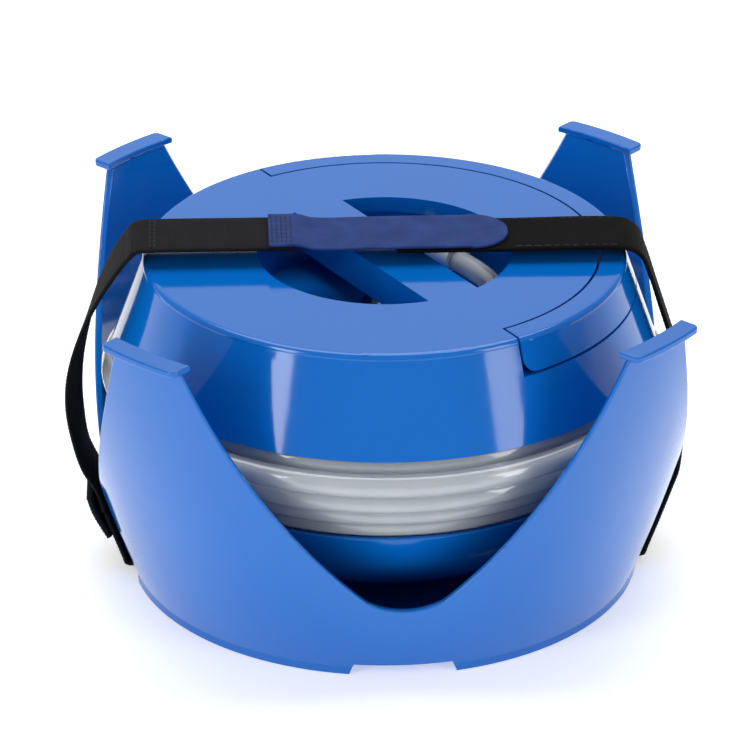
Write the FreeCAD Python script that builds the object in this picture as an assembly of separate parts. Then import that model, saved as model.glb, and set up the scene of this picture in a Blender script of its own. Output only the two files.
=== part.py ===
"""Reel of clear levelling hose: a four-horned cradle, a turning drum and a hook-and-loop strap.

Units are millimetres, +Z is up, and the origin is the centre of the cradle's foot ring on the floor.
The strap runs along X, the cradle's notches face +X, +Y, -X and -Y, and its horns stand between them.
"""
import FreeCAD
import Part
import math
import os

V = FreeCAD.Vector
UP = V(0, 0, 1)
ORIGIN = V(0, 0, 0)

# ---- cradle ----
base_r = 110.0            # foot ring, outside
base_band = 3.5           # upright band at the foot
cradle_wall = 3.0
cradle_mid_r = base_r + 22.1   # outside radius halfway up
cradle_top_r = base_r + 37.0   # outside radius under the lip
cradle_h = 148.8          # top of the lips
lip_t = 3.0
lip_out = 6.0             # how far a lip stands out past the wall
lip_in = 0.5
lip_half_angle = 7.6      # degrees
lip_corner_r = 3.0
notch_top_half = 91.0     # half width of a notch at the top of the cradle
notch_mid_half = 55.0
notch_mid_z = 85.0
notch_low_half = 16.0
notch_low_z = 41.0
notch_floor_z = 36.5
edge_round = 0.8
foot_ring_w = 6.0
floor_under_z = 7.0       # underside of the cradle's floor
floor_t = 3.0
recess_half_bottom = 22.5
recess_half_top = 20.5
recess_h = 5.0
boss_r = 16.0
boss_top_z = 20.0

# ---- spindle ----
spindle_r = 6.0
spindle_flange_r = 11.0
spindle_flange_t = 1.6
screw_bore_r = 2.1
screw_shank_r = 2.0
screw_depth = 16.0
retaining_head_r = 5.5
retaining_head_h = 3.2
washer_r = 10.0
washer_t = 1.5
thrust_washer_t = 2.0
running_fit = 0.08        # radial clearance of the bushes on the spindle
end_play = 0.3            # axial clearance under and over the drum

# ---- drum ----
lid_top_z = 144.0
lid_t = 3.0
lid_flat_r = 100.0
lid_round = 2.5
skirt_bottom_r = 116.0
skirt_bottom_z = 102.6
skirt_wall = 2.5
well_r = 54.0             # round hand well through the lid
grip_w = 24.0
grip_h = 16.0
grip_wall = 3.0
grip_azimuth = -61.5      # direction of the grip bar and of the bail's pivots, degrees
hub_r = 60.0
hub_wall = 3.0
well_floor_z = 118.0
well_floor_t = 3.0
hub_flange_r = 72.0
hub_flange_z = 130.0
hub_flange_t = 3.0
sleeve_r = 14.0
bush_r = 9.0
bush_flange_r = 13.0
bush_flange_t = 1.7
bush_len = 34.0
cup_rim_r = 104.0
cup_rim_z = 61.0
cup_mid_r = 94.0
cup_mid_z = 38.0
cup_floor_r = 72.0
cup_floor_t = 3.0
cup_wall = 2.5
fixing_r = 2.0            # cup and cover screws
fixing_head_r = 4.0
fixing_head_h = 2.5
fixing_len = 14.0
cup_fixing_pcr = 35.0     # radius of the circle the cup screws stand on
cover_fixing_pcr = 66.0
fixing_count = 4
fixing_post_r = 4.5
locate_gap = 0.1

# ---- bail ----
bail_inner_r = 91.6
bail_gap = 1.1            # all round, between the bail and its seat
bail_bottom_z = 129.6
bail_seat_t = 2.5
bail_wall = 3.0
bail_pivot_in = 7.5       # pivots stand this far in from the bail's ends
bail_pivot_z = 140.0
bail_end_round = 6.0
pin_r = 1.5
pin_len = 14.0
pin_fit = 0.05
pin_block = 9.0

# ---- hose ----
hose_d = 10.0
coil_gap = 0.4
coil_top_z = 116.5
lead_r = 46.0             # the inner end lies along this radius on the well's floor
stopper_len = 20.0
outer_turn_r = 116.5      # centre line of the widest turn
outer_turn_z = 91.9
end_turn_r = 106.7        # centre line of the last turn
end_turn_z = 74.6
end_azimuth = 165.0       # where the outer end stops

# ---- strap ----
strap_w = 32.0
strap_t = 1.8
strap_skew = -1.8         # degrees
strap_under_z = 3.2       # centre line below the cradle's floor
strap_over_z = 149.9      # centre line of the lower layer over the lid
layer_gap = 0.3
tab_t = 1.4
left_hinge = (-106.5, 151.0)
right_hinge = (128.0, 88.0)
webbing_end_x = -38.0
tab_start_x = -49.0
tab_end_x = 52.0
loop_end_x = 5.0


def lathe(outline):
    """Turn an outline about Z. It is a list of (r, z) points; (r, z, "via") is an arc's middle point."""
    edges = []
    start = V(outline[0][0], 0, outline[0][1])
    first = start
    via = None
    for point in outline[1:]:
        here = V(point[0], 0, point[1])
        if len(point) == 3:
            via = here
            continue
        if via is None:
            edges.append(Part.LineSegment(start, here).toShape())
        else:
            edges.append(Part.Arc(start, via, here).toShape())
        via = None
        start = here
    edges.append(Part.LineSegment(start, first).toShape())
    return Part.Face(Part.Wire(edges)).revolve(ORIGIN, UP, 360)


def tube(outer, inner, z0, z1):
    """Upright ring between two radii."""
    body = Part.makeCylinder(outer, z1 - z0, V(0, 0, z0))
    if inner > 0:
        body = body.cut(Part.makeCylinder(inner, z1 - z0 + 2, V(0, 0, z0 - 1)))
    return body


def turned(shape, degrees):
    """A copy turned about Z."""
    copy = shape.copy()
    copy.rotate(ORIGIN, UP, degrees)
    return copy


def at_angle(radius, degrees, z=0.0):
    angle = math.radians(degrees)
    return V(radius * math.cos(angle), radius * math.sin(angle), z)


def around(shape, count, first=0.0):
    """Copies of a shape spread evenly about Z, as a list."""
    return [turned(shape, first + 360.0 * i / count) for i in range(count)]


def half_space(offset, size=400.0):
    """A block on the bail's side of the line through the middle, moved out by offset."""
    block = Part.makeBox(size, 2 * size, size, V(offset, -size, 0))
    return turned(block, grip_azimuth + 90)


def ribbon(path, thickness, width):
    """A flat strap that follows a path of (x, z) points, drawn at its middle."""
    upper = []
    lower = []
    for i, (x, z) in enumerate(path):
        before = path[max(i - 1, 0)]
        after = path[min(i + 1, len(path) - 1)]
        along = V(after[0] - before[0], 0, after[1] - before[1]).normalize()
        side = V(-along.z, 0, along.x) * (thickness / 2)
        upper.append(V(x, -width / 2, z) + side)
        lower.append(V(x, -width / 2, z) - side)
    corners = upper + lower[::-1]
    wire = Part.makePolygon(corners + [corners[0]])
    strap = Part.Face(wire).extrude(V(0, width, 0))
    return turned(strap, strap_skew)


def hose(points, radii, diameter):
    """A tube along straight runs joined by tangent arcs."""
    edges = []
    here = points[0]
    for i in range(1, len(points) - 1):
        before = (points[i - 1] - points[i]).normalize()
        after = (points[i + 1] - points[i]).normalize()
        half = before.getAngle(after) / 2
        back = radii[i - 1] / math.tan(half)
        start = points[i] + before * back
        end = points[i] + after * back
        middle = (before + after).normalize()
        top = points[i] + middle * (radii[i - 1] / math.sin(half) - radii[i - 1])
        edges.append(Part.LineSegment(here, start).toShape())
        edges.append(Part.Arc(start, top, end).toShape())
        here = end
    edges.append(Part.LineSegment(here, points[-1]).toShape())
    path = Part.Wire(edges)
    direction = (points[1] - points[0]).normalize()
    circle = Part.Wire(Part.Circle(points[0], direction, diameter / 2).toShape())
    return path.makePipeShell([circle], True, True)


# ---------------------------------------------------------------- cradle

def cradle_outer(z):
    """Outside radius of the cradle's wall at a height, on the arc that makes it."""
    arc = Part.Arc(V(base_r, 0, base_band), V(cradle_mid_r, 0, (cradle_h - lip_t) / 2),
                   V(cradle_top_r, 0, cradle_h - lip_t))
    level = Part.LineSegment(V(0, 0, z), V(3 * base_r, 0, z))
    return arc.toShape().distToShape(level.toShape())[1][0][0].x


def cradle_shell():
    """Bowl on a foot ring, with four V notches that leave four horns, each with an outward lip."""
    wall_top = cradle_h - lip_t
    wall_mid = wall_top / 2
    floor_top = floor_under_z + floor_t
    inner_r = cradle_outer(floor_top) - cradle_wall
    bowl = lathe([
        (base_r - foot_ring_w, 0), (base_r, 0), (base_r, base_band),
        (cradle_mid_r, wall_mid, "via"), (cradle_top_r, wall_top), (cradle_top_r - cradle_wall, wall_top),
        (cradle_outer(wall_mid) - cradle_wall, wall_mid, "via"), (inner_r, floor_top),
        (boss_r, floor_top), (boss_r, boss_top_z), (spindle_r, boss_top_z), (spindle_r, floor_under_z),
        (base_r - foot_ring_w, floor_under_z),
    ])
    top_z = cradle_h + 6
    left = [V(-notch_top_half, 0, cradle_h), V(-notch_mid_half, 0, notch_mid_z), V(-notch_low_half, 0, notch_low_z)]
    right = [V(-p.x, 0, p.z) for p in left]
    notch_wire = Part.Wire([
        Part.LineSegment(V(-notch_top_half, 0, top_z), left[0]).toShape(),
        Part.Arc(left[0], left[1], left[2]).toShape(),
        Part.Arc(left[2], V(0, 0, notch_floor_z), right[2]).toShape(),
        Part.Arc(right[2], right[1], right[0]).toShape(),
        Part.LineSegment(right[0], V(notch_top_half, 0, top_z)).toShape(),
        Part.LineSegment(V(notch_top_half, 0, top_z), V(-notch_top_half, 0, top_z)).toShape(),
    ])
    notch = Part.Face(notch_wire).extrude(V(0, 2 * base_r, 0))
    for cutter in around(notch, 4):
        bowl = bowl.cut(cutter)
    notch_edges = [e for e in bowl.Edges if sharp_notch_edge(e)]
    bowl = bowl.makeFillet(edge_round, notch_edges)
    recess_wire = Part.makePolygon([
        V(-recess_half_bottom, 0, -1), V(recess_half_bottom, 0, -1), V(recess_half_bottom, 0, 0),
        V(recess_half_top, 0, recess_h), V(-recess_half_top, 0, recess_h),
        V(-recess_half_bottom, 0, 0), V(-recess_half_bottom, 0, -1)])
    recess = Part.Face(recess_wire).extrude(V(0, 2 * base_r, 0))
    for cutter in around(recess, 4):
        bowl = bowl.cut(cutter)
    lips = around(lip(), 4, 45)
    return bowl.fuse(lips).removeSplitter()


def sharp_notch_edge(edge):
    """Long edges along the notches: above the floor, and neither level nor on the rim."""
    box = edge.BoundBox
    return box.ZMin > notch_floor_z - 1 and box.ZLength > 3 and box.ZMax < cradle_h


def lip():
    """Flat lip on one horn, on the +X side, with rounded outer corners."""
    outer = cradle_top_r + lip_out
    inner = cradle_top_r - cradle_wall - lip_in
    half = outer * math.sin(math.radians(lip_half_angle))
    ring = tube(outer, inner, cradle_h - lip_t, cradle_h)
    block = Part.makeBox(outer, 2 * half, lip_t, V(0, -half, cradle_h - lip_t))
    plate = ring.common(block)
    upright = [e for e in plate.Edges if e.BoundBox.ZLength > lip_t / 2 and e.CenterOfMass.x > cradle_top_r]
    plate = plate.makeFillet(lip_corner_r, upright)
    flat = [e for e in plate.Edges if e.BoundBox.ZLength < 0.01]
    return plate.makeFillet(edge_round, flat)


# ---------------------------------------------------------------- spindle and what holds the drum on it

spindle_bottom_z = floor_under_z - spindle_flange_t
spindle_top_z = well_floor_z + end_play
drum_bottom_z = boss_top_z + thrust_washer_t + end_play
cup_under_z = drum_bottom_z + bush_flange_t
cup_floor_z = cup_under_z + cup_floor_t


def spindle():
    shaft = Part.makeCylinder(spindle_r, spindle_top_z - spindle_bottom_z, V(0, 0, spindle_bottom_z))
    flange = Part.makeCylinder(spindle_flange_r, spindle_flange_t, V(0, 0, spindle_bottom_z))
    bore = Part.makeCylinder(screw_bore_r, screw_depth + 2, V(0, 0, spindle_top_z - screw_depth - 2))
    return shaft.fuse(flange).cut(bore).removeSplitter()


def retaining_screw():
    seat = spindle_top_z + washer_t
    head = Part.makeCylinder(retaining_head_r, retaining_head_h, V(0, 0, seat))
    rim = [e for e in head.Edges if e.CenterOfMass.z > seat + retaining_head_h - 0.1]
    head = head.makeFillet(1.4, rim)
    shank = Part.makeCylinder(screw_shank_r, screw_depth, V(0, 0, seat - screw_depth))
    return head.fuse(shank).cut(cross_recess(2.4, 1.8, seat + retaining_head_h)).removeSplitter()


def cross_recess(reach, depth, z):
    """Cross-head driver recess at the origin, cut down from z."""
    width = reach * 0.36
    bar = Part.makeBox(2 * reach, width, depth + 1, V(-reach, -width / 2, z - depth))
    return bar.fuse(turned(bar, 90))


# ---------------------------------------------------------------- drum

def skirt_r(z):
    """Outside radius of the lid's skirt at a height."""
    top_z = lid_top_z - lid_round
    top_r = lid_flat_r + lid_round
    return top_r + (top_z - z) * (skirt_bottom_r - top_r) / (top_z - skirt_bottom_z)


def lid_section():
    """Outline of the solid that the lid and the bail share before they are parted."""
    top_z = lid_top_z - lid_round
    corner = lid_round * math.sqrt(0.5)
    return [(lid_flat_r, lid_top_z), (lid_flat_r + corner, top_z + corner, "via"), (skirt_r(top_z), top_z)]


def top_cover():
    """Lid with its skirt, the hand well, the grip bar across it and the seat for the bail."""
    under = lid_top_z - lid_t
    cover = lathe([(well_r, lid_top_z)] + lid_section() + [
        (skirt_bottom_r, skirt_bottom_z), (skirt_bottom_r - skirt_wall, skirt_bottom_z),
        (skirt_r(under) - skirt_wall, under), (well_r, under)])
    seat_r = bail_inner_r - bail_gap
    seat_z = bail_bottom_z - bail_gap
    wall = lathe([(seat_r - bail_seat_t, under), (seat_r - bail_seat_t, seat_z - bail_seat_t),
                  (skirt_r(seat_z) - 1, seat_z - bail_seat_t), (skirt_r(seat_z) - 1, seat_z),
                  (seat_r, seat_z), (seat_r, under)])
    end_wall = -bail_gap - bail_seat_t
    ring = lathe([(seat_r - bail_seat_t, seat_z - bail_seat_t), (skirt_r(seat_z) - 1, seat_z - bail_seat_t),
                  (skirt_r(under) - 1, under), (seat_r - bail_seat_t, under)])
    ends = ring.common(half_space(end_wall)).cut(half_space(-bail_gap))
    cover = cover.fuse([wall.common(half_space(-bail_gap)), ends])
    seat = lathe([(seat_r, seat_z), (3 * seat_r, seat_z), (3 * seat_r, lid_top_z + 5), (seat_r, lid_top_z + 5)])
    cover = cover.cut(seat.common(half_space(-bail_gap)))
    collar = tube(hub_r - hub_wall - locate_gap, well_r, under - 4, under)
    posts = [Part.makeCylinder(fixing_post_r, under - hub_flange_z - hub_flange_t,
                               at_angle(cover_fixing_pcr, a, hub_flange_z + hub_flange_t)) for a in fixing_angles]
    cover = cover.fuse([collar] + posts + [grip_bar()] + pin_blocks())
    bores = [Part.makeCylinder(fixing_r, under - hub_flange_z, at_angle(cover_fixing_pcr, a, hub_flange_z))
             for a in fixing_angles]
    cover = cover.cut(Part.makeCompound(bores + [bail_pin(end, pin_r) for end in (1, -1)]))
    return cover.removeSplitter()


def grip_bar():
    """Hollow bar across the hand well, open below."""
    reach = well_r + 1
    outer = Part.makeBox(2 * reach, grip_w, grip_h, V(-reach, -grip_w / 2, lid_top_z - grip_h))
    hollow = Part.makeBox(2 * reach - 8, grip_w - 2 * grip_wall, grip_h,
                          V(4 - reach, grip_wall - grip_w / 2, lid_top_z - grip_h - grip_wall))
    bar = outer.cut(hollow).common(Part.makeCylinder(reach, 4 * lid_top_z))
    return turned(bar, grip_azimuth)


def pin_blocks():
    """Blocks behind the bail's seat that the two pivot pins are pressed into."""
    seat_r = bail_inner_r - bail_gap
    block = Part.makeBox(pin_block, pin_block, 7, V(seat_r - 1 - pin_block, bail_pivot_in - pin_block / 2,
                                                    lid_top_z - lid_t - 7))
    mirrored = Part.makeBox(pin_block, pin_block, 7, V(-seat_r + 1, bail_pivot_in - pin_block / 2,
                                                       lid_top_z - lid_t - 7))
    return [turned(block, grip_azimuth), turned(mirrored, grip_azimuth)]


def bail_pin(end, radius):
    """One pivot pin's cylinder; end is 1 or -1 along the grip's line."""
    inside = bail_inner_r - bail_gap - pin_len / 2
    pin = Part.makeCylinder(radius, pin_len, V(end * inside, bail_pivot_in, bail_pivot_z), V(end, 0, 0))
    return turned(pin, grip_azimuth)


fixing_angles = [grip_azimuth + 45 + 90 * i for i in range(fixing_count)]


def hub_core():
    """Core of the drum: outer tube, well floor, middle sleeve, webs and the flange under the lid."""
    top = lid_top_z - lid_t - 0.2
    shell = tube(hub_r, hub_r - hub_wall, cup_floor_z, top)
    floor = tube(hub_r, spindle_r + running_fit, well_floor_z - well_floor_t, well_floor_z)
    sleeve = tube(sleeve_r, bush_r, cup_floor_z, well_floor_z - 1)
    flange = tube(hub_flange_r, hub_r - 1, hub_flange_z, hub_flange_z + hub_flange_t)
    web = Part.makeBox(hub_r - sleeve_r - 1, 2.0, well_floor_z - cup_floor_z - 1, V(sleeve_r - 1, -1, cup_floor_z))
    post = Part.makeCylinder(fixing_post_r, fixing_len + 4, V(cup_fixing_pcr, 0, cup_floor_z))
    core = shell.fuse([floor, sleeve, flange] + around(web, 4, fixing_angles[0])
                      + around(post, fixing_count, fixing_angles[0]))
    bore = Part.makeCylinder(fixing_r, fixing_len + 2, V(cup_fixing_pcr, 0, cup_floor_z - 1))
    hole = Part.makeCylinder(fixing_r + 0.3, hub_flange_t + 2, V(cover_fixing_pcr, 0, hub_flange_z - 1))
    core = core.cut(around(bore, fixing_count, fixing_angles[0]) + around(hole, fixing_count, fixing_angles[0]))
    slot = Part.makeCylinder(2 * hub_r, hose_d + 4.6, V(0, 0, well_floor_z - 3.4), UP, slot_sweep)
    slot = turned(slot, slot_start).cut(Part.makeCylinder(hub_r - hub_wall - 0.5, 4 * lid_top_z))
    return core.cut(slot).removeSplitter()


slot_start = grip_azimuth + 2
slot_sweep = 62.0


def hub_bushes():
    """Two plain bushes in the middle sleeve; the lower one has the flange that the drum turns on."""
    inner = spindle_r + running_fit
    lower = tube(bush_r, inner, cup_under_z, cup_under_z + bush_len)
    lower = lower.fuse(tube(bush_flange_r, inner, drum_bottom_z, cup_under_z)).removeSplitter()
    top = well_floor_z - well_floor_t
    return Part.makeCompound([lower, tube(bush_r, inner, top - bush_len, top)])


def lower_cup():
    """Bowl that carries the coil from below."""
    cup = lathe([(bush_r, cup_under_z), (cup_floor_r, cup_under_z), (cup_mid_r, cup_mid_z, "via"),
                 (cup_rim_r, cup_rim_z), (cup_rim_r - cup_wall, cup_rim_z),
                 (cup_mid_r - cup_wall, cup_mid_z + 1, "via"), (cup_floor_r - 2, cup_floor_z),
                 (bush_r, cup_floor_z)])
    rim = [e for e in cup.Edges if e.BoundBox.ZMin > cup_rim_z - 0.1]
    cup = cup.makeFillet(edge_round, rim)
    holes = [Part.makeCylinder(fixing_r + 0.3, 4 * cup_floor_t, at_angle(cup_fixing_pcr, a, cup_under_z - 2))
             for a in fixing_angles]
    return cup.cut(holes).removeSplitter()


def fixing_screw(x, z):
    """Screw that stands head down at a radius, its head's top face at height z."""
    shank = Part.makeCylinder(fixing_r, fixing_len - 4, V(x, 0, z))
    head = Part.makeCylinder(fixing_head_r, fixing_head_h, V(x, 0, z - fixing_head_h))
    recess = cross_recess(2.0, 1.4, 0)
    recess.translate(V(x, 0, z - fixing_head_h))
    return head.fuse(shank).cut(recess).removeSplitter()


def bail_handle():
    """Half ring that lies flush in the lid's rim, hollow from below, with a solid eye at each end."""
    section = lid_section()
    outline = [(bail_inner_r, bail_bottom_z), (bail_inner_r, lid_top_z)] + section
    outline += [(skirt_r(bail_bottom_z), bail_bottom_z)]
    ring = lathe(outline).common(half_space(0))
    inside = lathe([(bail_inner_r + bail_wall, bail_bottom_z - 5), (bail_inner_r + bail_wall, lid_top_z - bail_wall),
                    (lid_flat_r - bail_wall / 2, lid_top_z - bail_wall),
                    (skirt_r(bail_bottom_z) - bail_wall, bail_bottom_z - 5)])
    ring = ring.cut(inside.common(half_space(2 * bail_pivot_in)))
    low_corners = [e for e in ring.Edges if end_corner(e)]
    ring = ring.makeFillet(bail_end_round, low_corners)
    holes = [bail_pin(end, pin_r + pin_fit) for end in (1, -1)]
    return ring.cut(holes).removeSplitter()


def end_corner(edge):
    """The bottom edge of each end face of the bail."""
    box = edge.BoundBox
    across = at_angle(1.0, grip_azimuth + 90)
    middle = edge.CenterOfMass
    on_end = abs(middle.x * across.x + middle.y * across.y) < 0.01
    return on_end and abs(box.ZMax - bail_bottom_z) < 0.01


# ---------------------------------------------------------------- hose

def coil_solid():
    """Outer shape of the wound hose, with a gap in its last turn for the outer stopper."""
    inner = hub_r + coil_gap
    radius = hose_d / 2
    wall = cup_wall + coil_gap
    coil = lathe([
        (inner, cup_floor_z + coil_gap), (inner, coil_top_z), (94, coil_top_z), (103, 110), (110.5, 101.5),
        (outer_turn_r + radius - 1, 96), (outer_turn_r + radius, outer_turn_z), (outer_turn_r + radius - 1, 86.5),
        (111.5, 72), (cup_rim_r, cup_rim_z + 2.2), (cup_rim_r - wall - 0.6, cup_rim_z),
        (cup_mid_r - wall - 0.6, cup_mid_z + 1.6, "via"), (cup_floor_r - 3, cup_floor_z + coil_gap)])
    return coil.cut([end_pocket(), hose_lead()])


def end_pocket():
    """Room in the last turn for the outer stopper."""
    size = stopper_len + hose_d + 4
    margin = hose_d / 2 + 1.2
    box = Part.makeBox(30, size, 2 * margin, V(end_turn_r - margin, -size / 2, end_turn_z - margin))
    return turned(box, end_azimuth)


def lead_points():
    """Inner end of the hose: up out of the winding, through the hub's wall and round to its stopper."""
    z = well_floor_z + hose_d / 2 + 0.3
    return [at_angle(66.5, -76, z - 8.5), at_angle(65.5, -56, z - 3.5), at_angle(59, -36, z),
            at_angle(52, -16, z), at_angle(47.5, 4, z), at_angle(lead_r, 24, z), at_angle(lead_r, 42, z)]


def hose_lead():
    points = lead_points()
    runs = [(b - a).Length for a, b in zip(points, points[1:])]
    radii = []
    for i in range(1, len(points) - 1):
        turn = (points[i] - points[i - 1]).getAngle(points[i + 1] - points[i])
        radii.append(0.45 * min(runs[i - 1], runs[i]) / math.tan(turn / 2))
    tube_solid = hose(points, radii, hose_d)
    length = tube_solid.Volume / (math.pi * hose_d ** 2 / 4)
    print("lead bend radii", [round(r, 1) for r in radii], "length by volume", round(length, 1))
    return tube_solid


def stopper(length, diameter):
    """Push-in stopper along +X from the origin, with a grip flange and a domed end."""
    body = Part.makeCylinder(diameter / 2, length, ORIGIN, V(1, 0, 0))
    far = [e for e in body.Edges if e.CenterOfMass.x > length - 0.1]
    return body.makeFillet(diameter * 0.42, far)


def inner_stopper():
    points = lead_points()
    along = points[-1] - points[-2]
    cap = stopper(stopper_len, hose_d + 3)
    cap.rotate(ORIGIN, UP, math.degrees(math.atan2(along.y, along.x)))
    cap.translate(points[-1] + V(0, 0, 1.6))
    return cap


def outer_stopper():
    """Stopper in the hose's outer end, in line with the last turn."""
    cap = stopper(stopper_len, hose_d + 1)
    cap.translate(V(-stopper_len / 2, 0, 0))
    cap.rotate(ORIGIN, UP, -90)
    cap.translate(V(end_turn_r, 0, end_turn_z))
    return turned(cap, end_azimuth)


# ---------------------------------------------------------------- strap

def wall_line(z, stand_off):
    """A point on the strap's middle where it lies outside the cradle's wall."""
    return (cradle_outer(z) + strap_t / 2 + stand_off, z)


def base_path():
    """Strap's middle: up the left side to the keeper, under the floor, and up the right side."""
    turn_x = base_r + strap_t / 2 + 0.9
    right = [(turn_x - 4, strap_under_z), (turn_x + 0.2, strap_under_z + 0.6), (turn_x + 1.2, 6.5)]
    right += [wall_line(z, 0.9) for z in (12, 20, 28, 36, 44)]
    right += [(right_hinge[0] - 0.8, 62), (right_hinge[0], right_hinge[1] - 2.8)]
    left = [(-x, z) for x, z in right[:6]]
    return left[::-1] + right


def left_path():
    """Strap's middle on the slack left side, from the keeper up to the bend at the lid's edge."""
    start = wall_line(28.9, 0.9)
    return [(-start[0] - 0.5, start[1]), (-124.5, 38), (-131.5, 50), (-135.5, 64), (-137.0, 78), (-135.5, 92),
            (-130.0, 108), (-122.5, 125), (-114.0, 140), (-107.6, 148.6)]


def right_path():
    """Strap's middle on the loop side, from the right bend up over the lid's edge and in over the lid."""
    z = strap_over_z
    return [(right_hinge[0] - 0.6, right_hinge[1] + 1.2), (122.5, 103), (117.0, 120), (111.5, 137),
            (108.0, z - 4.5), (103.5, z - 1.0), (98.0, z), (loop_end_x, z)]


def webbing_z():
    return strap_over_z + strap_t / 2 + layer_gap + strap_t / 2


def tab_path():
    """Pull tab's middle: sewn on top of the webbing's end, then down onto the loop strap."""
    low = strap_over_z + strap_t / 2 + layer_gap + tab_t / 2
    high = webbing_z() + strap_t / 2 + tab_t / 2
    return [(tab_start_x, high), (webbing_end_x + 1, high), (webbing_end_x + 7, low), (tab_end_x, low)]


def pull_tab():
    tab = ribbon(tab_path(), tab_t, strap_w)
    round_off = Part.makeCylinder(strap_w / 2, 4 * strap_t, V(tab_end_x - strap_w / 2, 0, strap_over_z - strap_t))
    body = Part.makeBox(tab_end_x - strap_w / 2 - tab_start_x + 1, strap_w, 6 * strap_t,
                        V(tab_start_x - 1, -strap_w / 2, strap_over_z - strap_t))
    return tab.common(turned(body.fuse(round_off), strap_skew))


def strap_keeper():
    """Doubled, sewn end of the webbing that stands off the cradle's wall on the left side."""
    path = [(-wall_line(z, 0.9)[0] - strap_t - off, z) for z, off in ((17, 0.6), (22, 1.6), (29, 2.6), (36, 2.4))]
    return ribbon(path, 2.6, strap_w + 1.5)


# ---------------------------------------------------------------- write the parts

def screws(radius, z):
    return Part.makeCompound(around(fixing_screw(radius, z), fixing_count, fixing_angles[0]))


def make_parts():
    drag = tube(boss_r, spindle_r + 0.5, boss_top_z, boss_top_z + thrust_washer_t)
    washer = tube(washer_r, screw_shank_r + 0.2, spindle_top_z, spindle_top_z + washer_t)
    webbing = [(left_hinge[0] + 1.2, webbing_z() - 0.5), (left_hinge[0] + 5, webbing_z()),
               (webbing_end_x, webbing_z())]
    return {
        "cradle_shell": cradle_shell(),
        "spindle": spindle(),
        "thrust_washer": drag,
        "retaining_washer": washer,
        "retaining_screw": retaining_screw(),
        "top_cover": top_cover(),
        "hub_core": hub_core(),
        "hub_bushes": hub_bushes(),
        "lower_cup": lower_cup(),
        "cup_screws": screws(cup_fixing_pcr, cup_under_z),
        "cover_screws": screws(cover_fixing_pcr, hub_flange_z),
        "bail_handle": bail_handle(),
        "bail_pins": Part.makeCompound([bail_pin(end, pin_r) for end in (1, -1)]),
        "hose_coil": coil_solid(),
        "hose_lead": hose_lead(),
        "inner_stopper": inner_stopper(),
        "outer_stopper": outer_stopper(),
        "strap_base_run": ribbon(base_path(), strap_t, strap_w),
        "strap_left_run": ribbon(left_path(), strap_t, strap_w),
        "strap_keeper": strap_keeper(),
        "strap_webbing": ribbon(webbing, strap_t, strap_w),
        "pull_tab": pull_tab(),
        "strap_loop_run": ribbon(right_path(), strap_t, strap_w),
    }


os.makedirs("parts", exist_ok=True)
for node, shape in make_parts().items():
    solids = shape.Solids
    print(f"{node:18s} solids {len(solids)} valid {shape.isValid()} volume {shape.Volume / 1000:8.2f} cm3")
    shape.exportStep(f"parts/{node}.step")
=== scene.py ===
# %% [markdown]
# # A reel of clear levelling hose
# The reel is a blue cradle with four horns, a blue drum that turns in it, sixteen metres of clear hose
# wound on the drum, and a hook-and-loop strap that goes once round everything.
# The hard pieces are loaded as finished solids, and this script gives each one its finish.
# The soft pieces, the hose and the straps, are made here in full.

# %% Load the hard pieces
import math

import bpy
import numpy as np
from mathutils import Matrix, Vector


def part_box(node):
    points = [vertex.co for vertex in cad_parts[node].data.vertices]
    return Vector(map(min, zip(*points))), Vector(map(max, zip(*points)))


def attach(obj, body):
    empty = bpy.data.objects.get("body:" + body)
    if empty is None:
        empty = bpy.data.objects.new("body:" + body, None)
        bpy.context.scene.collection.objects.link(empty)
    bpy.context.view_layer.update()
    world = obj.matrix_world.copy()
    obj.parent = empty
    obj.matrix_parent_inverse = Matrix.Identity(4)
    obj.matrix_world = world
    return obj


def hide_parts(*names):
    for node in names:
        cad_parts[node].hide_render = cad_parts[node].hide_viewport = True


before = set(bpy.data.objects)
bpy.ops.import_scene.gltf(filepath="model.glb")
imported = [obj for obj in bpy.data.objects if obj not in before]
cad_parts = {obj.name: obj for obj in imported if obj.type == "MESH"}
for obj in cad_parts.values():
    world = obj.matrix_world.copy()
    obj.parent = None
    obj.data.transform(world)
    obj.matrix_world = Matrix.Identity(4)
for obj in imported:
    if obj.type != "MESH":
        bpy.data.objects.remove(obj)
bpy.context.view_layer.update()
MM = 0.001

# %% [markdown]
# ## The camera
# A catalogue picture of a small tool is taken from far away with a long lens, which keeps upright lines
# nearly parallel. The camera's place could be set by hand, but it is safer to say how far away it stands,
# how high it looks down and which way the reel is turned, and to let a vector do the rest.

# %% Camera
CAMERA_DISTANCE = 2.0
CAMERA_HEIGHT = math.radians(28.54)
REEL_TURN = math.radians(-4.2)
AIM = Vector((-4.1, 36.4, 66.9)) * MM
LENS = 219.6
SENSOR = 36
turn = Matrix.Rotation(REEL_TURN, 4, "Z")
back = Vector((0, -math.cos(CAMERA_HEIGHT), math.sin(CAMERA_HEIGHT)))
camera_data = bpy.data.cameras.new("camera")
camera_data.lens = LENS
camera_data.sensor_width = SENSOR
camera = bpy.data.objects.new("camera", camera_data)
bpy.context.scene.collection.objects.link(camera)
camera.location = turn @ (back * CAMERA_DISTANCE)
camera.rotation_euler = (turn @ AIM - camera.location).to_track_quat("-Z", "Y").to_euler()
bpy.context.scene.camera = camera
print("camera at", [round(c, 3) for c in camera.location])

# %% [markdown]
# ## Studio light
# Glossy plastic shows its surroundings, so the lamps matter as much as the colour. One wide soft box
# overhead brightens the lid, and two tall ones at the sides leave upright streaks on the round skirt.
# A white world fills the shadows. Area lamps are used because a point lamp would leave hard dots.

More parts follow.
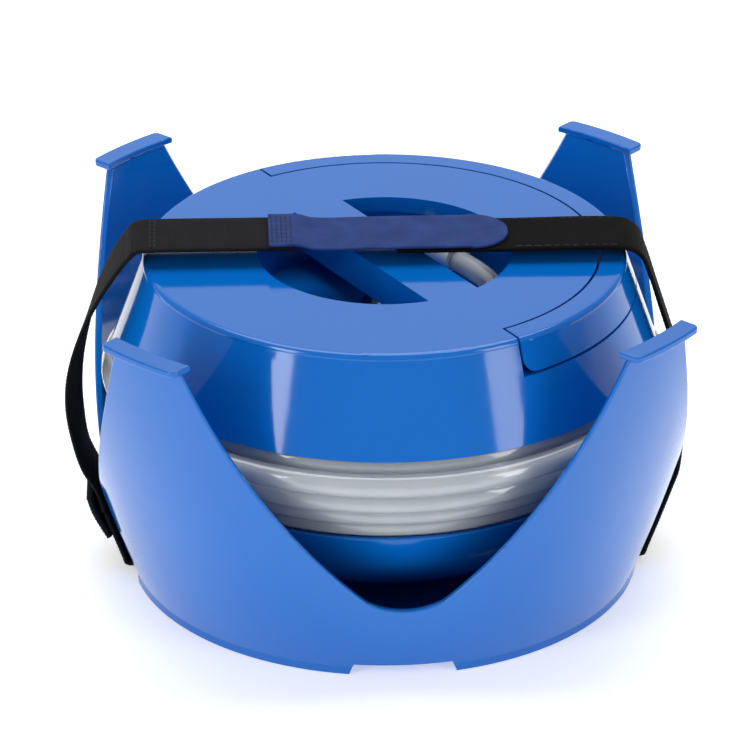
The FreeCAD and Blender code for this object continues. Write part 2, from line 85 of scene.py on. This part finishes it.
# %% Lamps, world and floor
scene = bpy.context.scene
scene.view_settings.view_transform = "Standard"
world = bpy.data.worlds.new("studio")
world.use_nodes = True
world.node_tree.nodes["Background"].inputs["Color"].default_value = (1, 1, 1, 1)
world.node_tree.nodes["Background"].inputs["Strength"].default_value = 0.34
scene.world = world
TARGET = Vector((0, 0, 0.08))
FLOOR = 6.0
FLOOR_DROP = 0.0003


def soft_box(name, place, width, height, power):
    """A rectangular lamp at place, turned to the middle of the reel."""
    data = bpy.data.lights.new(name, "AREA")
    data.shape, data.size, data.size_y, data.energy = "RECTANGLE", width, height, power
    lamp = bpy.data.objects.new(name, data)
    lamp.location = place
    lamp.rotation_euler = (TARGET - Vector(place)).to_track_quat("-Z", "Y").to_euler()
    scene.collection.objects.link(lamp)


soft_box("overhead", (0.0, 0.30, 1.3), 1.4, 0.9, 13)
soft_box("back_panel", (0.0, 1.6, 0.9), 2.6, 1.1, 4)
soft_box("left_strip", (-1.00, -0.84, 0.42), 0.30, 1.0, 6.5)
soft_box("right_strip", (0.94, -0.90, 0.42), 0.30, 1.0, 4.5)
floor_mesh = bpy.data.meshes.new("floor")
floor_mesh.from_pydata([(-FLOOR, -FLOOR, 0), (FLOOR, -FLOOR, 0), (FLOOR, FLOOR, 0), (-FLOOR, FLOOR, 0)],
                       [], [(0, 1, 2, 3)])
floor = bpy.data.objects.new("floor", floor_mesh)
floor.location.z = -FLOOR_DROP
scene.collection.objects.link(floor)

# %% [markdown]
# ## Arithmetic with shader sockets
# A finish is a small sum: so much colour here, a little more roughness there. Wiring each sum by hand
# hides the thought, so a class wraps a socket and lets Python's own + and * add the nodes.

# %% Signals and finishes
MIX_FACTOR, MIX_A, MIX_B, MIX_COLOUR = 0, 6, 7, 2


class Signal:
    """An output socket that takes part in arithmetic."""

    def __init__(self, finish, socket):
        self.finish, self.socket = finish, socket

    def math(self, operation, first, second=0.0):
        return self.finish.node("Math", {"operation": operation}, {0: first, 1: second})

    def __add__(self, other):
        return self.math("ADD", self, other)

    def __sub__(self, other):
        return self.math("SUBTRACT", self, other)

    def __rsub__(self, other):
        return self.math("SUBTRACT", other, self)

    def __mul__(self, other):
        return self.math("MULTIPLY", self, other)

    __radd__, __rmul__ = __add__, __mul__

    def sine(self):
        return self.math("SINE", self)


class Finish:
    """A material with one Principled shader and the nodes that vary it."""

    def __init__(self, name, **constants):
        self.material = bpy.data.materials.new(name)
        self.material.use_nodes = True
        self.tree = self.material.node_tree
        self.shader = self.tree.nodes["Principled BSDF"]
        for socket, value in constants.items():
            self.put(self.shader.inputs[socket.replace("_", " ")], value)

    def put(self, socket, value):
        """Link a signal to a socket, or set its value."""
        if isinstance(value, Signal):
            self.tree.links.new(value.socket, socket)
        elif socket.type == "RGBA" and len(value) == 3:
            socket.default_value = (*value, 1)
        else:
            socket.default_value = value

    def node(self, kind, settings=None, sockets=None, out=0):
        """Any node: its settings are set first, then its sockets."""
        made = self.tree.nodes.new("ShaderNode" + kind)
        for key, value in (settings or {}).items():
            if key == "stops":
                for element, (place, level) in zip(made.color_ramp.elements, value):
                    element.position, element.color = place, (level, level, level, 1)
            else:
                setattr(made, key, value)
        for key, value in (sockets or {}).items():
            self.put(made.inputs[key], value)
        return Signal(self, made.outputs[out])

    def place(self, stretch=(1, 1, 1)):
        """Where a point is on its piece, in metres, stretched along each axis."""
        here = self.node("TexCoord", out="Object")
        return self.node("VectorMath", {"operation": "MULTIPLY"}, {0: here, 1: stretch})

    def noise(self, scale, detail=2.0, stretch=(1, 1, 1)):
        return self.node("TexNoise", None, {"Vector": self.place(stretch), "Scale": scale, "Detail": detail})

    def ramp(self, signal, low, high):
        """0 below low, 1 above high."""
        return self.node("ValToRGB", {"stops": ((low, 0), (high, 1))}, {0: signal})

    def blend(self, factor, first, second):
        """A mix of two colours by a factor from 0 to 1."""
        return self.node("Mix", {"data_type": "RGBA"}, {MIX_FACTOR: factor, MIX_A: first, MIX_B: second}, MIX_COLOUR)

    def bump(self, height, strength, distance):
        normal = self.node("Bump", None, {"Height": height, "Strength": strength, "Distance": distance})
        self.put(self.shader.inputs["Normal"], normal)

    def set(self, socket, value):
        self.put(self.shader.inputs[socket], value)


print("socket wrapper ready")

# %% [markdown]
# ## Moulded plastic
# The cradle and the drum are injection-moulded polypropylene: glossy, a little see-through to the light,
# with a faint ripple where the melt cooled and hairline scuffs from use. The ripple could be modelled,
# but it is far below a tenth of a millimetre, so a bump is the right tool. Scuffs are noise stretched
# along one axis, cut to thin lines by a ramp.

# %% Plastic finishes
def plastic(name, deep, bright, roughness, coat):
    finish = Finish(name, IOR=1.49, Coat_Roughness=0.08, Specular_IOR_Level=0.42)
    cloud = finish.noise(11, 3)
    ripple = finish.noise(160, 2)
    scuffs = finish.ramp(finish.noise(12, 6, (1, 16, 22)), 0.66, 0.72)
    fine_scuffs = finish.ramp(finish.noise(30, 8, (6, 1, 9)), 0.66, 0.70)
    worn = scuffs * 0.03 + fine_scuffs * 0.04
    finish.set("Base Color", finish.blend(cloud, deep, bright))
    finish.set("Roughness", cloud * 0.04 + worn + roughness)
    finish.set("Coat Weight", coat - worn)
    finish.bump(ripple * 0.8 + finish.noise(1500, 1) * 0.2 - worn, 0.10, 0.0003)
    return finish.material


blue_plastic = plastic("blue_plastic", (0.001, 0.116, 0.47), (0.001, 0.142, 0.56), 0.08, 0.20)
white_plastic = plastic("white_plastic", (0.74, 0.75, 0.73), (0.84, 0.85, 0.84), 0.30, 0.30)
print("plastics:", blue_plastic.name, white_plastic.name)

# %% [markdown]
# ## Steel
# The screws, washers and pins are bright zinc-plated steel. Plating is not a mirror: it has fine turning
# lines, so the roughness follows a noise that is stretched flat.

# %% Steel finish
steel_finish = Finish("steel", Metallic=1.0)
turning = steel_finish.noise(220, 3, (1, 1, 12))
steel_finish.set("Base Color", steel_finish.blend(turning, (0.46, 0.47, 0.48), (0.72, 0.73, 0.74)))
steel_finish.set("Roughness", turning * 0.25 + 0.18)
steel_finish.bump(turning, 0.15, 0.0002)
steel = steel_finish.material
print("metal:", steel.name)

# %% [markdown]
# ## Clear hose
# The hose is soft clear PVC. Many turns of it look pale grey, not invisible, because each wall bends the
# light again. Full glass would be noisy and slow, so the tube lets part of the light through and takes
# the rest as a milky tint. The rim of each turn, where the wall is seen edge on, gets a painted rim light:
# the tint turns paler there with the viewing angle, standing in for the light the wall catches edge on.

# %% Hose finish
hose_finish = Finish("clear_hose", Transmission_Weight=0.55, IOR=1.42, Coat_Roughness=0.04,
                     Specular_IOR_Level=0.7)
# painted rim light: the base colour turns paler where each turn of hose is seen edge on
painted_rim_light = hose_finish.node("LayerWeight", None, {"Blend": 0.42}, "Facing")
haze = hose_finish.noise(70, 4)
tint = hose_finish.blend(haze, (0.70, 0.76, 0.82), (0.86, 0.90, 0.94))
hose_finish.set("Base Color", hose_finish.blend(hose_finish.ramp(painted_rim_light, 0.30, 0.95), tint, (0.93, 0.95, 0.97)))
hose_finish.set("Roughness", haze * 0.10 + 0.03)
hose_finish.set("Coat Weight", haze * 0.5 + 0.4)
hose_finish.bump(hose_finish.noise(45, 3) * 0.7 + haze * 0.3, 0.10, 0.0006)
clear_hose = hose_finish.material
print("hose finish:", clear_hose.name)

# %% [markdown]
# ## The winding
# The hose is one length. It starts at its white stopper on the floor of the hand well, dips through the
# wall of the hub, and is wound down, up and down again in layers. Each turn lies level and steps to the
# next one over a short stretch at the back. Where a row of turns ends and the next begins, the step comes
# earlier in the circle, so that no turn runs through another. A helix formula would drift across the
# front; a loop that adds one step per turn keeps the turns level.

# %% Route of the hose
HOSE = 10.0
SPACING = 10.15
WALL_CLEARANCE = 0.6
coil_low, coil_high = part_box("hose_coil")
hub_radius = 60.0
top_turn = coil_high.z / MM - HOSE / 2 - WALL_CLEARANCE
bottom_turn = coil_low.z / MM + HOSE / 2 + WALL_CLEARANCE
well_level = 123.3
lead = [(46, 42, well_level), (46, 24, well_level), (47.5, 4, well_level), (52, -16, well_level),
        (59, -36, well_level), (65.5, -56, well_level - 3.5), (66.5, -76, well_level - 8.5)]
cup_rise = 16.0
turns = []
for layer in range(3):
    radius = hub_radius + HOSE / 2 + WALL_CLEARANCE + SPACING * layer
    lowest = bottom_turn + (cup_rise if layer == 2 else 0)
    count = int((top_turn - lowest) / SPACING) + 1
    heights = [top_turn - SPACING * i for i in range(count)]
    turns += [(radius, z) for z in (reversed(heights) if layer == 1 else heights)]
turns += [(100.4, 66.0), (96.4, 77.7), (96.4, 87.9), (96.4, 98.1), (96.4, 108.3)]
turns += [(108.0, 97.1), (116.5, 91.9), (112.2, 82.2), (106.4, 74.0)]

POINTS_PER_TURN = 36
STEP_SPAN = 45
LAST_STEP_AZIMUTH = 150
END_AZIMUTH = 165
CORNER = math.radians(25)
start_azimuth = lead[-1][1]


def step_angles():
    """How far round from the lead's end each step to the next turn begins, in degrees."""
    moves = [Vector(b) - Vector(a) for a, b in zip(turns, turns[1:])]
    corners = [0] + [int(a.angle(b) > CORNER) for a, b in zip(moves, moves[1:])]
    still_to_come = [sum(corners[i + 1:]) for i in range(len(moves))]
    azimuths = [LAST_STEP_AZIMUTH - STEP_SPAN * n for n in still_to_come]
    angles, swept = [], 0
    for azimuth in azimuths:
        swept += (start_azimuth - swept - azimuth) % 360 or 360
        angles.append(swept)
        swept += STEP_SPAN / 2
    return angles


def ease(t):
    t = min(1.0, max(0.0, t))
    return t * t * (3 - 2 * t)


def point(radius, azimuth, height):
    a = math.radians(azimuth)
    return Vector((radius * math.cos(a), radius * math.sin(a), height)) * MM


angles = step_angles()
total = angles[-1] + STEP_SPAN + (start_azimuth - angles[-1] - STEP_SPAN - END_AZIMUTH) % 360
route = [point(*p) for p in lead]
samples = int(total / 360 * POINTS_PER_TURN)
AFTER_LEAD = 2
for i in range(AFTER_LEAD, samples + 1):
    swept = total * i / samples
    radius, height = turns[0]
    for (r0, z0), (r1, z1), begin in zip(turns, turns[1:], angles):
        share = ease((swept - begin) / STEP_SPAN)
        radius, height = radius + (r1 - r0) * share, height + (z1 - z0) * share
    route.append(point(radius, start_azimuth - swept, height))

# %% [markdown]
# ## The hose itself
# The route becomes a curve with a round bevel, which stays one clean tube however often it winds. It is
# made one percent thinner than the real hose, so that two turns that touch don't share a surface. It turns
# with the drum.

# %% The hose itself
THINNER = 0.99
hose_curve = bpy.data.curves.new("wound_hose", "CURVE")
hose_curve.dimensions = "3D"
hose_curve.bevel_depth = HOSE * MM / 2 * THINNER
hose_curve.bevel_resolution = 5
hose_curve.use_fill_caps = True
spline = hose_curve.splines.new("NURBS")
spline.points.add(len(route) - 1)
for knot, place in zip(spline.points, route):
    knot.co = (*place, 1)
spline.order_u = 3
spline.use_endpoint_u = True
spline.resolution_u = 2
hose = bpy.data.objects.new("wound_hose", hose_curve)
scene.collection.objects.link(hose)
hose_curve.materials.append(clear_hose)
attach(hose, "drum")
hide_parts("hose_coil", "hose_lead")
print("hose lies from", [round(c, 3) for c in route[0]], "to", [round(c, 3) for c in route[-1]])

# %% [markdown]
# ## Strap finishes
# Four textiles meet in the strap. The webbing is ribbed nylon, the long loop part is a dark brushed nap,
# the pull tab is a navy nap with paler patches, and thread holds them together. Along and across the
# strap are the natural directions of a weave, so these finishes read the mesh's own map, in metres.

# %% Textile finishes
YARN = 0.0011
FIBRE_SCALE = 2600
PATCH_SCALE = 85


def textile(name, deep, bright, sheen, roughness, fuzz, weave):
    finish = Finish(name, Sheen_Weight=sheen, Sheen_Roughness=0.4, Specular_IOR_Level=0.12)
    here = finish.node("TexCoord", out="UV")
    across = finish.node("SeparateXYZ", None, {0: here}, "X")
    along = finish.node("SeparateXYZ", None, {0: here}, "Y")
    rate = 2 * math.pi / YARN
    yarns = (across * rate + (along * rate).sine() * 1.4).sine() * 0.5 + 0.5
    fibre = finish.noise(FIBRE_SCALE, 3)
    patches = finish.noise(PATCH_SCALE, 4)
    height = yarns * weave + fibre * fuzz
    tone = patches * 0.45 + yarns * 0.30 * weave + fibre * 0.35
    finish.set("Base Color", finish.blend(finish.ramp(tone, 0.25, 0.85), deep, bright))
    finish.set("Roughness", fibre * 0.2 + roughness)
    finish.bump(height, 0.55, 0.0004)
    return finish.material


black_webbing = textile("black_webbing", (0.001, 0.001, 0.002), (0.010, 0.010, 0.012), 0.01, 0.62, 0.3, 1.0)
black_loop = textile("black_loop", (0.0006, 0.0006, 0.001), (0.005, 0.005, 0.007), 0.01, 0.80, 1.0, 0.15)
navy_tab = textile("navy_tab", (0.004, 0.016, 0.100), (0.040, 0.090, 0.330), 0.01, 0.50, 1.0, 0.35)
thread = textile("dark_thread", (0.012, 0.012, 0.015), (0.06, 0.06, 0.07), 0.05, 0.6, 0.5, 0.6)
print("textiles:", black_webbing.name, black_loop.name, navy_tab.name, thread.name)

# %% [markdown]
# ## Straps as meshes
# A strap is a long thin section moved along a line. Its ribs are tall enough to catch the light on the
# outline, so they are in the mesh and not only in a bump. The section has round edges, and the line is a
# curve through a few chosen points. The left run hangs slack and is twisted a little.

# %% A ribbon along a line
STRAP_W = 32 * MM
STRAP_T = 1.8 * MM
STRAP_SKEW = Matrix.Rotation(math.radians(-1.8), 4, "Z")
EDGE_STEPS = 3
FLAT_STEPS = 8
CURVE_STEPS = 24


def curve_through(points, step):
    """Points a step apart on a smooth line through the given (x, z) points, in metres."""
    p = [Vector((x, 0, z)) * MM for x, z in points]
    p = [p[0] * 2 - p[1]] + p + [p[-1] * 2 - p[-2]]
    dense = []
    for a, b, c, d in zip(p, p[1:], p[2:], p[3:]):
        t1 = (b - a).length ** 0.5
        t2 = t1 + (c - b).length ** 0.5
        t3 = t2 + (d - c).length ** 0.5
        for i in range(CURVE_STEPS):
            t = t1 + (t2 - t1) * i / CURVE_STEPS
            ab, bc, cd = a.lerp(b, t / t1), b.lerp(c, (t - t1) / (t2 - t1)), c.lerp(d, (t - t2) / (t3 - t2))
            dense.append((ab.lerp(bc, t / t2)).lerp(bc.lerp(cd, (t - t1) / (t3 - t1)), (t - t1) / (t2 - t1)))
    dense.append(p[-2])
    run = np.concatenate([[0], np.cumsum([(b - a).length for a, b in zip(dense, dense[1:])])])
    wanted = np.linspace(0, run[-1], max(4, int(run[-1] / step)))
    grid = np.array(dense)
    return [Vector([np.interp(s, run, grid[:, i]) for i in range(3)]) for s in wanted], wanted


def section(width, thickness):
    """The strap's cross-section as (across, up) pairs, with round edges."""
    half, r = max(width / 2 - thickness / 2, 1e-5), thickness / 2
    flat = [(-half + 2 * half * i / FLAT_STEPS, r) for i in range(FLAT_STEPS + 1)]
    edge = [(half + r * math.cos(a), r * math.sin(a))
            for a in [math.pi / 2 - math.pi * i / (EDGE_STEPS + 1) for i in range(1, EDGE_STEPS + 1)]]
    side = flat + edge
    return side + [(-across, -up) for across, up in side]


def ribbon(name, points, finish, body, nodes, slot, width=None, thickness=STRAP_T, rib=0.0, pitch=1.7 * MM,
           twist=0.0, step=0.45 * MM):
    """A strap piece that follows points, rides on a body and stands for CAD nodes."""
    line, run = curve_through(points, step)
    width = width or (lambda s: STRAP_W)
    corners, faces, uvs = [], [], []
    for i, (place, s) in enumerate(zip(line, run)):
        tangent = (line[min(i + 1, len(line) - 1)] - line[max(i - 1, 0)]).normalized()
        normal = Vector((-tangent.z, 0, tangent.x))
        wide = width(s)
        swell = 1 + rib * math.cos(2 * math.pi * s / pitch)
        turn_here = twist * math.sin(math.pi * s / run[-1]) ** 2
        for across, up in section(wide, thickness):
            lift = up * swell + turn_here * across / (STRAP_W / 2)
            corners.append(STRAP_SKEW @ (place + normal * lift + Vector((0, across, 0))))
            uvs.append((across, s))
    ring = len(section(STRAP_W, thickness))
    for i in range(len(line) - 1):
        for j in range(ring):
            a, b = i * ring + j, i * ring + (j + 1) % ring
            faces.append((a, a + ring, b + ring, b))
    faces += [tuple(range(ring)), tuple(reversed(range(len(corners) - ring, len(corners))))]
    mesh = bpy.data.meshes.new(name)
    mesh.from_pydata(corners, [], faces)
    layer = mesh.uv_layers.new(name="UVMap")
    for loop in mesh.loops:
        layer.data[loop.index].uv = uvs[loop.vertex_index]
    mesh.polygons.foreach_set("use_smooth", [True] * len(mesh.polygons))
    mesh.materials.append(finish)
    piece = bpy.data.objects.new(name, mesh)
    scene.collection.objects.link(piece)
    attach(piece, body)
    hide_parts(*nodes)
    print(name, "length in mm:", round(run[-1] / MM, 1), "corners:", len(corners))
    return piece


# %% [markdown]
# ## Where the strap runs
# The strap passes under the floor and lies on the cradle's wall at both sides, so its points there come
# from the wall's own arc. The arc goes through three known points of the wall, and its middle follows from
# two equations. The slack part on the left hangs free, so its points are listed one by one.

# %% Lines of the strap, in millimetres
OVER_Z = 149.9
WEBBING_Z = OVER_Z + 2.1
UNDER_Z = 3.2
OFF_WALL = 1.8
foot, middle, top = (110.0, 3.5), (132.1, 72.9), (147.0, 145.8)
centre = np.linalg.solve(2 * np.array([np.subtract(middle, foot), np.subtract(top, foot)]),
                         [np.dot(middle, middle) - np.dot(foot, foot), np.dot(top, top) - np.dot(foot, foot)])
bow = float(np.linalg.norm(np.subtract(foot, centre)))


def wall(z):
    """Outside radius of the cradle at height z, on the arc through its foot, middle and top."""
    return float(centre[0]) + math.sqrt(bow ** 2 - (z - float(centre[1])) ** 2)


right_foot = [(107.8, UNDER_Z), (112.0, 3.8), (113.0, 6.5)] + [(wall(z) + OFF_WALL, z) for z in (12, 20, 28)]
left_foot = [(-x, z) for x, z in reversed(right_foot)]
right_rise = [(wall(z) + OFF_WALL, z) for z in (36, 44)] + [(127.2, 62), (128.0, 76), (128.0, 85.9)]
base_points = left_foot + [(0, UNDER_Z)] + right_foot + right_rise
left_points = [(-wall(28.9) - OFF_WALL - 0.5, 28.9), (-123.6, 38), (-129.0, 50), (-131.8, 64), (-133.0, 78),
               (-132.0, 92), (-128.2, 108), (-122.0, 125), (-114, 140), (-108.2, 148.0), (-105.6, 150.6)]
webbing_points = [(-108.4, 147.8), (-106.6, 150.3), (-103.2, 151.7), (-99, 152), (-60, 152), (-38, 152)]
loop_points = [(127.9, 86.3), (122.5, 103), (117, 120), (111.5, 137), (108, 145.4), (103.5, 148.9), (98, 149.9),
               (50, 149.9), (5, 149.9)]
keeper_points = [(-wall(z) - 2 * OFF_WALL - off, z) for z, off in ((17, 0.6), (22, 1.6), (29, 2.6), (36, 2.4))]
print("the strap leaves the wall at", [round(c, 1) for c in left_points[0]])

# %% [markdown]
# ## The five runs of the strap
# Each run is the same ribbon along another line. The pieces that open ride on the flaps, and the rest
# stays with the cradle. The webbing has deep ribs and the loop part only shallow ones.

# %% The strap's runs
webbing_rib = {"rib": 0.12, "finish": black_webbing, "slot": "black_webbing"}
ribbon("left_slack", left_points, body="cradle", nodes=["strap_left_run"], twist=-3.0 * MM, **webbing_rib)
webbing = ribbon("top_webbing", webbing_points, body="strap_left_flap", nodes=["strap_webbing"], **webbing_rib)
ribbon("base_webbing", base_points, body="cradle", nodes=["strap_base_run"], **webbing_rib)
loop_run = ribbon("loop_strap", loop_points, body="strap_right_flap", nodes=["strap_loop_run"],
                  finish=black_loop, slot="black_loop", rib=0.05, pitch=2.6 * MM)

# %% [markdown]
# ## The pull tab and the sewn end
# The tab is a thinner strip that ends in a half round. The same ribbon function makes it: its width
# follows a circle near the tip. The doubled end at the left foot is a short thick ribbon of its own.

# %% Pull tab
TAB_T = 1.4
TAB_TIP = 52.0
TAB_LOW = OVER_Z + 0.9 + 0.3 + TAB_T / 2
TAB_HIGH = WEBBING_Z + 0.9 + TAB_T / 2
tab_points = [(-49, TAB_HIGH), (-43, TAB_HIGH), (-37, TAB_HIGH), (-33.5, (TAB_HIGH + TAB_LOW) / 2), (-30, TAB_LOW),
              (0, TAB_LOW), (TAB_TIP, TAB_LOW)]
TAB_RUN = 101.4 * MM


def tab_width(s):
    """Full width, closing to a half round over the last half width."""
    left = max(TAB_RUN - s, 0)
    radius = STRAP_W / 2
    return STRAP_W if left > radius else 2 * math.sqrt(max(radius ** 2 - (radius - left) ** 2, 1e-9)) + TAB_T * MM


tab = ribbon("pull_tab_strip", tab_points, body="strap_left_flap", nodes=["pull_tab"], finish=navy_tab,
             slot="navy_tab", width=tab_width, thickness=TAB_T * MM)
KEEPER_T = 2.6 * MM
KEEPER_EXTRA = 1.5 * MM
ribbon("sewn_keeper", keeper_points, body="cradle", nodes=["strap_keeper"], thickness=KEEPER_T,
       width=lambda s: STRAP_W + KEEPER_EXTRA, **webbing_rib)

# %% [markdown]
# ## Thread
# Thread is small, but it is what tells the eye that the strap is sewn, so each stitch is a little raised
# bead of its own. The rows lie on the tab's sewn end, along both edges of the loop part and on the
# webbing's hem.

# %% Thread
STITCH = 3.2 * MM
THREAD_R = 0.30 * MM
STITCH_GAP = 1.25
TAB_ROWS = (-47.6, -45.6, -43.6, -41.6, -39.6)
HEM_ROWS = (-99.0, -97.0)
EDGE_FROM, EDGE_TO, EDGE_INSET = 56 * MM, 97 * MM, 2.2 * MM
ROW_MARGIN = 3 * MM


def stitches(name, places, body, goes_on):
    """Beads of thread. Each place is (middle, direction), and the beads are one piece."""
    corners, faces = [], []
    stations = [(-0.5, 0.15), (-0.38, 0.8), (0.0, 1.0), (0.38, 0.8), (0.5, 0.15)]
    sides = 6
    for middle, direction in places:
        direction = direction.normalized()
        side = direction.cross(Vector((0, 0, 1)))
        side = side.normalized() if side.length > 0.1 else Vector((0, 1, 0))
        up = side.cross(direction)
        first_corner = len(corners)
        for along, girth in stations:
            for k in range(sides):
                a = 2 * math.pi * k / sides
                corners.append(STRAP_SKEW @ (middle + direction * along * STITCH
                                             + (side * math.cos(a) + up * math.sin(a)) * THREAD_R * girth))
        for i in range(len(stations) - 1):
            for k in range(sides):
                a, b = first_corner + i * sides + k, first_corner + i * sides + (k + 1) % sides
                faces.append((a, b, b + sides, a + sides))
        faces.append(tuple(first_corner + k for k in reversed(range(sides))))
        faces.append(tuple(first_corner + (len(stations) - 1) * sides + k for k in range(sides)))
    mesh = bpy.data.meshes.new(name)
    mesh.from_pydata([tuple(c) for c in corners], [], faces)
    mesh.polygons.foreach_set("use_smooth", [True] * len(mesh.polygons))
    mesh.materials.append(thread)
    piece = bpy.data.objects.new(name, mesh)
    scene.collection.objects.link(piece)
    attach(piece, body)
    print(name, "on", goes_on.name, "stitches:", len(places))


ACROSS, ALONG = Vector((0, 1, 0)), Vector((1, 0, 0))
tab_top = (TAB_HIGH + TAB_T / 2 + 0.1) * MM
pitch = STITCH * STITCH_GAP
per_row = int((STRAP_W - ROW_MARGIN) / pitch)
rows = [(Vector((x * MM, (i - (per_row - 1) / 2) * pitch, tab_top)), ACROSS)
        for x in TAB_ROWS for i in range(per_row)]
stitches("tab_stitching", rows, "strap_left_flap", tab)
loop_top = (OVER_Z + 1.0) * MM
edges = [(Vector((x, side * (STRAP_W / 2 - EDGE_INSET), loop_top)), ALONG)
         for side in (-1, 1) for x in np.arange(EDGE_FROM, EDGE_TO, pitch)]
stitches("loop_edge_stitching", edges, "strap_right_flap", loop_run)
webbing_top = (WEBBING_Z + 1.0) * MM
hem = [(Vector((x * MM, (i - (per_row - 1) / 2) * pitch, webbing_top)), ACROSS)
       for x in HEM_ROWS for i in range(per_row)]
stitches("webbing_bar_tack", hem, "strap_left_flap", webbing)

# %% [markdown]
# ## Finishes for the hard pieces
# The solids came in with plain colours. Each one gets the finish of what it is made of, looked up by its
# name, so that a piece without a finish stops the script.

# %% Dress the hard pieces
made_of = {
    "cradle_shell": blue_plastic, "top_cover": blue_plastic, "hub_core": blue_plastic,
    "lower_cup": blue_plastic, "bail_handle": blue_plastic,
    "thrust_washer": white_plastic, "hub_bushes": white_plastic, "inner_stopper": white_plastic,
    "outer_stopper": white_plastic,
    "spindle": steel, "retaining_washer": steel, "retaining_screw": steel, "cup_screws": steel,
    "cover_screws": steel, "bail_pins": steel,
    "hose_coil": clear_hose, "hose_lead": clear_hose,
    "strap_base_run": black_webbing, "strap_left_run": black_webbing, "strap_keeper": black_webbing,
    "strap_webbing": black_webbing, "pull_tab": navy_tab, "strap_loop_run": black_loop,
}
for name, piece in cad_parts.items():
    piece.data.materials.clear()
    piece.data.materials.append(made_of[name])
print("dressed:", len(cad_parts), "hard pieces")

# %% [markdown]
# ## The floor's finish
# The reel stands on a seamless white sheet, which glows a little so that it stays white. A little roughness
# variation keeps it from looking painted.

# %% Floor finish
paper = Finish("white_sheet", Base_Color=(0.93, 0.93, 0.93), Emission_Color=(1, 1, 1), Emission_Strength=0.44)
paper.set("Roughness", paper.noise(6, 2) * 0.1 + 0.75)
floor_mesh.materials.append(paper.material)
